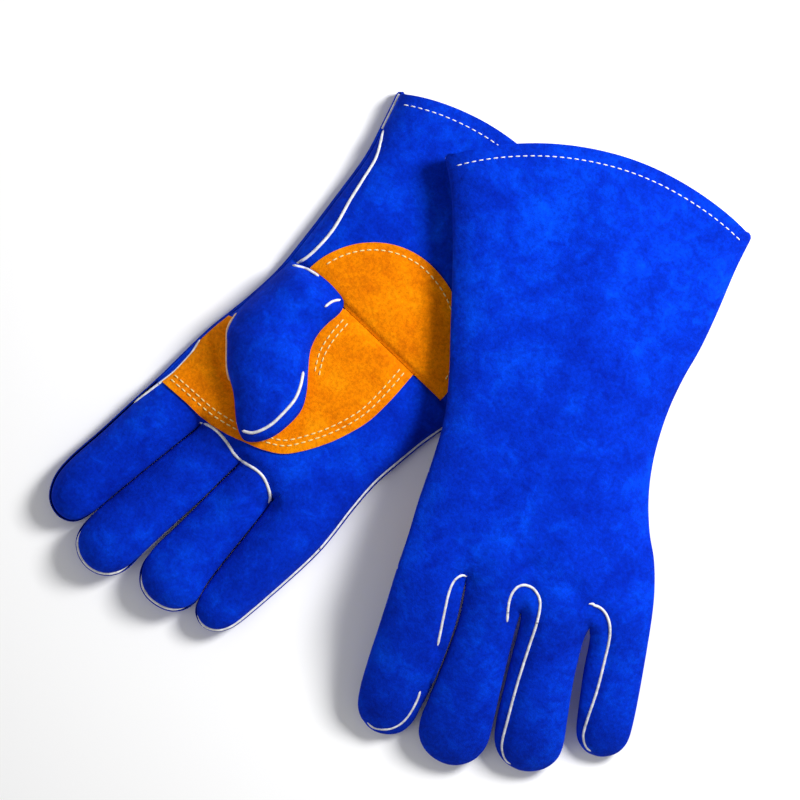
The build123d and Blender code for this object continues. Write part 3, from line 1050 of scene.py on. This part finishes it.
def welts(glove, flat, surface_lines):
    """The welts in the outline seam and on the surface, one piece for each body."""
    parts = {"hand": []}
    for finger in glove.fingers:
        parts[finger.name] = []
    names = [finger.name for finger in glove.fingers]
    side = smooth_curve(glove.outline)
    seam = even(side, SEAM_STEP)
    which = beyond_cut(glove, seam[:, 0], seam[:, 1])
    rolled = (glove.side == "right") & (seam[:, 0] < -60) & (seam[:, 1] > -105.5) & (seam[:, 1] < 92)
    which[rolled] = -2
    _, index = nearest(seam, flat.loop)
    proud = SEAM_PROUD[glove.side] - SLIT_DEPTH * (1 - flat.bulge[index])
    if glove.side == "right":
        proud = np.where((seam[:, 0] < -44) & (seam[:, 1] < -105.5), HIDDEN_PROUD, proud)
    seam3 = np.column_stack([seam + flat.normals[index] * proud[:, None], np.full(len(seam), glove.seam_z)])
    rolled_parts = []
    for run, kind in split_runs(seam3, which):
        radius = WELT_RADIUS / 1000
        if kind == -2:
            rolled_parts.append(tube(laid(glove, run), radius))
        else:
            name = "hand" if kind < 0 else names[kind]
            parts[name].append(tube(laid(glove, run), radius, taper=False))
    if rolled_parts:
        made = joined(f"{glove.side}_rolled_seam_suede", rolled_parts)
        finished(glove, made, BLUE, "hand", "hand_welts")
    for line, read in surface_lines:
        points = even(smooth_curve(line), WELT_STEP)
        which = beyond_cut(glove, points[:, 0], points[:, 1])
        count = len(points)
        place = []
        for k, (x, y) in enumerate(points):
            at = read(x, y)
            from_end = min(k, count - 1 - k) * WELT_STEP
            depth = WELT_SINK + 1.2 * (1 - float(smoothstep(from_end / WELT_END)))
            place.append(None if at is None else np.array(at[0]) - np.array(at[1]) * depth / 1000)
        keep = [k for k in range(count) if place[k] is not None]
        placed = np.array([place[k] for k in keep])
        for run, kind in split_runs(placed, which[keep]):
            name = "hand" if kind < 0 else names[kind]
            parts[name].append(tube(run, SURFACE_WELT_RADIUS[glove.side] / 1000, taper=False))
    for name, tubes in parts.items():
        made = joined(f"{glove.side}_{name}_welt_leather", tubes)
        finished(glove, made, WELT, name, "hand_welts" if name == "hand" else f"{name}_welt")


def patch(glove, node, surface, flat, polygon, extra):
    """A patch of leather on the palm, raised off the panel under it and thinned into the side seam."""
    outer, triangles, normals, centre, region = surface
    chosen = inside(np.array(polygon), centre) & (region == -1) & extra(centre)
    chosen &= flat.rim_distance[flat.triangles].min(axis=1) >= PATCH_MARGIN[glove.side]
    thickness = PATCH * np.clip(flat.rim_distance / PATCH_TAPER, 0.3, 1)
    raised = outer + normals * thickness[:, None] / 1000
    under = outer + normals * 0.00005
    made = thick_sheet(f"{glove.side}_{node}_suede", raised, under, triangles[chosen], normals)
    finished(glove, made, GOLD, "hand", node)
    declare_sheet(made, flat.points[triangles[chosen].ravel()])
    return (raised, triangles[chosen])


def build_thumb(glove, palm, triangles):
    """The folded thumb: a pillow of its own, lying on the palm and wrapped round the glove's side."""
    spec = THUMB[glove.side]
    flat = flat_panel(spec["outline"], None, [])
    x, y = flat.points.T
    tree = BVHTree.FromPolygons([tuple(p) for p in palm], [tuple(t) for t in triangles])
    base = np.full(len(x), glove.seam_z)
    for k in range(len(x)):
        hit = tree.ray_cast(Vector((x[k], y[k], 60)), Vector((0, 0, -1)))[0]
        if hit is not None:
            base[k] = max(hit.z, glove.seam_z)
    base += PATCH + 0.5
    edge = np.clip(flat.pillow / 0.35, 0, 1)
    seam = base + THUMB_SEAM * edge_lift(flat)
    relief = (ripple(x, y, 24, 11.2) * 0.7 + ripple(x, y, 9, 4.4) * 0.25) * edge
    top = seam + THUMB_RISE * flat.pillow + relief
    top += groove(x, y, spec["crease"], -2.2, 5.0) * edge
    under = np.maximum(base, seam - THUMB_SEAM * np.minimum(1, flat.pillow * 2))
    outer_shape = np.column_stack([flat.points, top])
    under_shape = np.column_stack([flat.points, under])
    flip = glove.side == "left"
    for node, shape, material, up, replaced in (
        ("thumb_outer", outer_shape, BLUE, True, ("thumb_outer", "thumb_base")),
        ("thumb_inner", under_shape, GOLD, False, ("thumb_inner",)),
    ):
        tris = flat.triangles if up != flip else flat.triangles[:, ::-1]
        toward = 1 if up else -1
        outer = laid(glove, shape)
        normals = vertex_normals(outer, tris)
        leather = (outer, inset(glove, shape, seam, toward, LEATHER), normals)
        sheet(glove, f"{node}_suede", leather, tris, shape, material, "thumb", *replaced)
        lined = is_lined(flat.triangles, shape, seam, toward)
        cloth_out = inset(glove, shape, seam, toward, LEATHER + LINING_GAP)
        cloth_in = inset(glove, shape, seam, toward, LEATHER + LINING_GAP + LINING)
        cloth = (cloth_out, cloth_in, normals)
        cut_points = shape[flat.triangles[lined].ravel()]
        sheet(glove, f"{node}_cotton", cloth, tris[lined], cut_points, COTTON, "thumb", "thumb_lining")
        if up:
            read = surface_reader(glove, (outer, tris), not flip)
    tubes = []
    for line, radius in ((spec["welt"], 0.95), (spec["top_welt"], 0.8), (spec["end_welt"], 0.8)):
        run = []
        for px, py in even(smooth_curve(line), WELT_STEP):
            at = read(px, py)
            if at is not None:
                run.append(np.array(at[0]) + np.array(at[1]) * 0.0002)
        if len(run) > 3:
            tubes.append(tube(run, radius * WELT_RADIUS / 1000))
    edge_line = even(smooth_curve(spec["edge"]), WELT_STEP)
    _, index = nearest(edge_line, flat.points)
    raw_edge = tube(laid(glove, np.column_stack([edge_line, seam[index]])), RAW_EDGE_RADIUS / 1000)
    raw = joined(f"{glove.side}_thumb_raw_edge", [raw_edge])
    finished(glove, raw, RAW, "thumb", "thumb_inner")
    made = joined(f"{glove.side}_thumb_welt_leather", tubes)
    finished(glove, made, WELT, "thumb", "thumb_welt")


def edge_lift(flat):
    """How far the thumb's seam stands off the palm: not at all where it grows out of the hand."""
    y = flat.points[:, 1]
    return smoothstep((-18 - y) / 30)


def hem_line(glove, flat):
    """The line of the hem's stitches, below the mouth from edge to edge."""
    mouth = np.array(arc_points(*glove.mouth, 120))
    line = mouth - (0, HEM_INSET)
    distance, _ = nearest(line, flat.loop)
    return line[inside(flat.loop, line) & (distance > 1.5)]


# ---------------------------------------------------------------- the pair

# The two gold patches, which are the same on both palms
heel_arc = []
for turn in np.linspace(0, math.pi, 60):
    reach = HEEL_RIGHT if math.cos(turn) > 0 else HEEL_LEFT
    x = HEEL_CENTRE[0] + reach * math.cos(turn)
    heel_arc.append((x, HEEL_CENTRE[1] + HEEL_RISE * math.sin(turn)))
patch_curve = smooth_curve(PALM_PATCH[2:14])
side_curve = smooth_curve(PALM_PATCH[13:19])
patch_loop = np.vstack([PALM_PATCH[:2], patch_curve, side_curve, PALM_PATCH[19:]])


def within(outline, line, margin):
    """The stretch of a line that is inside an outline by a margin."""
    loop = np.array(smooth_curve(outline))
    p = np.array(line)
    distance, _ = nearest(p, even(loop, 1.0))
    return p[inside(loop, p) & (distance > margin)]


def panel_lines(glove):
    """Lines that the mesh of a glove's palm has edges along: both patches and the wrist seam."""
    patch_edge = within(glove.outline, patch_curve, 1.0)
    heel_edge = within(glove.outline, heel_arc, 1.0)
    side_edge = within(glove.outline, side_curve, 1.0)
    top_edge = within(glove.outline, even(PALM_PATCH[19:21], LINE_STEP), 0.5)
    return [patch_edge, side_edge, top_edge, heel_edge, [(-62, WRIST_Y), (65, WRIST_Y)]]


def gold_patches(glove, flat, palm_surface):
    """The two gold patches of a palm. Returns their surfaces."""
    palm_patch = patch(
        glove, "palm_patch", palm_surface, flat, patch_loop, lambda c: c[:, 1] < WRIST_Y - 0.2,
    )
    heel_patch = patch(
        glove, "heel_patch", palm_surface, flat, np.array(heel_arc), lambda c: c[:, 1] > WRIST_Y,
    )
    return palm_patch, heel_patch


right_flat, right_surfaces, right_palm = build_glove(RIGHT, panel_lines(RIGHT))
right_palm_reader = surface_reader(RIGHT, right_surfaces["palm"], True)
on_palm = [(line, right_palm_reader) for line in (BASE_WELT, CUFF_WELT, SIDE_WELT)]
welts(RIGHT, right_flat, on_palm)
right_patches = gold_patches(RIGHT, right_flat, right_surfaces["palm"])

left_flat, left_surfaces, left_palm = build_glove(LEFT, panel_lines(LEFT))
left_back_reader = surface_reader(LEFT, left_surfaces["back"], True)
welts(LEFT, left_flat, [(line, left_back_reader) for line in LEFT_WELTS])
left_patches = gold_patches(LEFT, left_flat, left_surfaces["palm"])

build_thumb(RIGHT, right_palm, right_flat.triangles)
build_thumb(LEFT, left_palm, left_flat.triangles)

# ---------------------------------------------------------------- rows of stitching


def row(line, reader, length=STITCH_LENGTH, radius=STITCH_RADIUS):
    """The stitches of one row, along a curve through the points of a line."""
    return stitches(smooth_curve(line), reader, radius, length)


def inset_line(line, distance):
    """A line moved sideways by a distance, to its left."""
    p = even(smooth_curve(line), 2.0)
    along = np.gradient(p, axis=0)
    along /= np.linalg.norm(along, axis=1)[:, None]
    return p + np.stack([-along[:, 1], along[:, 0]], axis=1) * distance


def gold_rows(glove, patches, down):
    """The double row round the palm patch, the one beside the thumb and the row in the heel patch."""
    palm_reader, heel_reader = (surface_reader(glove, surface, down) for surface in patches)
    rows = []
    for distance in PATCH_ROWS:
        rows += row(inset_line(PALM_PATCH[2:14], -distance), palm_reader)
    for shift in THUMB_ROW_SHIFTS:
        rows += row([(x + shift, y) for x, y in THUMB_ROW], palm_reader)
    cx, cy = HEEL_CENTRE
    share = HEEL_ROW_SHARE
    heel_row = [(cx + (x - cx) * share, cy + (y - cy) * share) for x, y in heel_arc[3:-3]]
    rows += row(heel_row, heel_reader)
    made = joined(f"{glove.side}_patch_stitches", rows)
    finished(glove, made, GOLD_THREAD, "hand", "stitching")


gold_rows(RIGHT, right_patches, True)
gold_rows(LEFT, left_patches, False)
for glove, flat, readers in (
    (RIGHT, right_flat, (right_palm_reader,)),
    (LEFT, left_flat, (left_back_reader, surface_reader(LEFT, left_surfaces["palm"], False))),
):
    rows = []
    for reader in readers:
        rows += row(hem_line(glove, flat), reader, HEM_STITCH_LENGTH, HEM_STITCH_RADIUS)
    made = joined(f"{glove.side}_hem_stitches", rows)
    finished(glove, made, WHITE_THREAD, "hand", "stitching")

# ---------------------------------------------------------------- stage, light and camera

VIEW_CENTRE = (-0.02375, -0.00484)
VIEW_TURN = 27.0
VIEW_WIDTH = 0.464
VIEW_DISTANCE = 2.4

floor_mesh = bpy.data.meshes.new("floor")
floor_mesh.from_pydata([(-3, -3, 0), (3, -3, 0), (3, 3, 0), (-3, 3, 0)], [], [(0, 1, 2, 3)])
floor = bpy.data.objects.new("floor", floor_mesh)
floor.location.z = -0.0002
bpy.context.scene.collection.objects.link(floor)
pale = Nodes("pale_floor")
pale.shader.inputs["Base Color"].default_value = (0.93, 0.93, 0.93, 1)
pale.shader.inputs["Roughness"].default_value = 0.9
floor_mesh.materials.append(pale.material)

world = bpy.data.worlds.new("studio")
world.use_nodes = True
world.node_tree.nodes["Background"].inputs[0].default_value = (1, 1, 1, 1)
world.node_tree.nodes["Background"].inputs[1].default_value = 0.33
bpy.context.scene.world = world
bpy.context.scene.view_settings.view_transform = "Standard"


def area_light(name, towards, distance, size, power):
    """A soft square light that shines on the middle of the pair."""
    lamp = bpy.data.lights.new(name, "AREA")
    lamp.energy = power
    lamp.size = size
    made = bpy.data.objects.new(name, lamp)
    direction = Vector(towards).normalized()
    made.location = direction * distance
    made.rotation_mode = "QUATERNION"
    made.rotation_quaternion = direction.to_track_quat("Z", "Y")
    bpy.context.scene.collection.objects.link(made)


area_light("key_light", (0.62, 0.9, 1.1), 1.1, 0.35, 17)
area_light("fill_light", (-0.7, -0.6, 1.8), 1.8, 1.0, 3)

camera_data = bpy.data.cameras.new("camera")
camera_data.lens = 36 * VIEW_DISTANCE / VIEW_WIDTH
camera = bpy.data.objects.new("camera", camera_data)
camera.location = (*VIEW_CENTRE, VIEW_DISTANCE + 0.03)
camera.rotation_euler = (0, 0, math.radians(VIEW_TURN))
bpy.context.scene.collection.objects.link(camera)
bpy.context.scene.camera = camera
